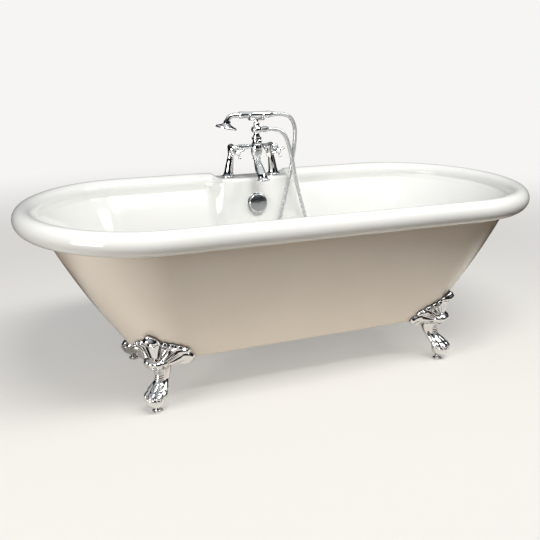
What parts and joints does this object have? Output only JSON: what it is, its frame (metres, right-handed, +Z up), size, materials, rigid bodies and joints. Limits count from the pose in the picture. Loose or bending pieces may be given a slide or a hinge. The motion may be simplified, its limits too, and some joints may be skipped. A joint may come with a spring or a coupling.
{
  "type": "clawfoot bathtub",
  "caption": "Double-ended roll-top clawfoot bath with a tap deck, mixer with hand shower on a hose, overflow knob, pop-up waste and screwed levelling feet.",
  "frame": {"origin": "on the floor under the middle of the bath, at the levellers' feet", "axes": "+X along the bath, +Y towards the tap side, +Z up"},
  "size_m": [1.7, 0.83, 0.836],
  "materials": {
    "white_acrylic": "glossy white cast acrylic",
    "cream_gloss": "glossy warm cream paint on acrylic",
    "board": "sealed board",
    "chrome": "polished chrome plate",
    "overflow_casing": "moulded white plastic",
    "steel": "zinc-plated steel",
    "brass": "machined brass",
    "rubber": "moulded rubber",
    "porcelain": "glazed white porcelain",
    "grip": "polished chrome plate",
    "hose_metal": "smooth silver-grey sleeve over steel"
  },
  "bodies": {
    "tub": {"bath_shell": "white_acrylic", "outer_skin": "cream_gloss", "base_board": "board", "foot_front_right": "chrome", "foot_front_left": "chrome", "foot_back_right": "chrome", "foot_back_left": "chrome", "waste_flange": "chrome", "waste_body": "chrome", "overflow_plate": "chrome", "overflow_pipe": "chrome", "pillar_hot": "chrome", "pillar_cold": "chrome", "mixer_body": "chrome", "bonnet_hot": "chrome", "bonnet_cold": "chrome", "spout": "chrome", "riser": "chrome", "hose_nut_lower": "chrome", "cradle": "chrome", "overflow_body": "overflow_casing", "foot_bolts": "steel", "pillar_backnuts": "brass", "waste_gasket": "rubber", "overflow_gasket": "rubber", "pillar_washers": "rubber", "shower_hose": "hose_metal"},
    "hot_handle": {"handle_hot": "chrome", "index_hot": "porcelain"},
    "cold_handle": {"handle_cold": "chrome", "index_cold": "porcelain"},
    "diverter": {"diverter_lever": "chrome", "diverter_knob": "porcelain"},
    "waste_knob": {"overflow_knob": "chrome"},
    "plug": {"waste_plug": "chrome", "plug_seal": "rubber"},
    "handset": {"handset_grip": "grip", "handset_rose": "chrome", "rose_face": "rubber", "hose_nut_upper": "chrome"},
    "leveller_1": {"leveller_front_right": "chrome"},
    "leveller_2": {"leveller_front_left": "chrome"},
    "leveller_3": {"leveller_back_right": "chrome"},
    "leveller_4": {"leveller_back_left": "chrome"}
  },
  "joints": [
    {"name": "hot_tap_turn", "type": "hinge", "parent": "tub", "child": "hot_handle", "pos_m": [-0.077, 0.345, 0.705], "axis": [0, -0.9925, -0.1219], "range_deg": [0, 90]},
    {"name": "cold_tap_turn", "type": "hinge", "parent": "tub", "child": "cold_handle", "pos_m": [0.077, 0.345, 0.705], "axis": [0, -0.9925, -0.1219], "range_deg": [-90, 0]},
    {"name": "diverter_turn", "type": "hinge", "parent": "tub", "child": "diverter", "pos_m": [0, 0.283, 0.731], "axis": [0, -1, 0], "range_deg": [-74, 0]},
    {"name": "overflow_knob_turn", "type": "hinge", "parent": "tub", "child": "waste_knob", "pos_m": [0, 0.28095, 0.506], "axis": [0, -0.9848, 0.1736], "range_deg": [0, 120]},
    {"name": "plug_lift", "type": "slide", "parent": "tub", "child": "plug", "axis": [0, 0, 1], "range_m": [0, 0.012]},
    {"name": "handset_lift", "type": "slide", "parent": "tub", "child": "handset", "axis": [0, 0, 1], "range_m": [0, 0.06]},
    {"name": "leveller_screw_1", "type": "hinge", "parent": "tub", "child": "leveller_1", "pos_m": [0.504, -0.198, 0], "axis": [0, 0, 1], "range_deg": [-180, 180]},
    {"name": "leveller_screw_2", "type": "hinge", "parent": "tub", "child": "leveller_2", "pos_m": [-0.504, -0.198, 0], "axis": [0, 0, 1], "range_deg": [-180, 180]},
    {"name": "leveller_screw_3", "type": "hinge", "parent": "tub", "child": "leveller_3", "pos_m": [0.504, 0.198, 0], "axis": [0, 0, 1], "range_deg": [-180, 180]},
    {"name": "leveller_screw_4", "type": "hinge", "parent": "tub", "child": "leveller_4", "pos_m": [-0.504, 0.198, 0], "axis": [0, 0, 1], "range_deg": [-180, 180]}
  ],
  "couplings": [
    {"joint": "plug_lift", "follows": "overflow_knob_turn", "m_per_rad": 0.0057}
  ]
}
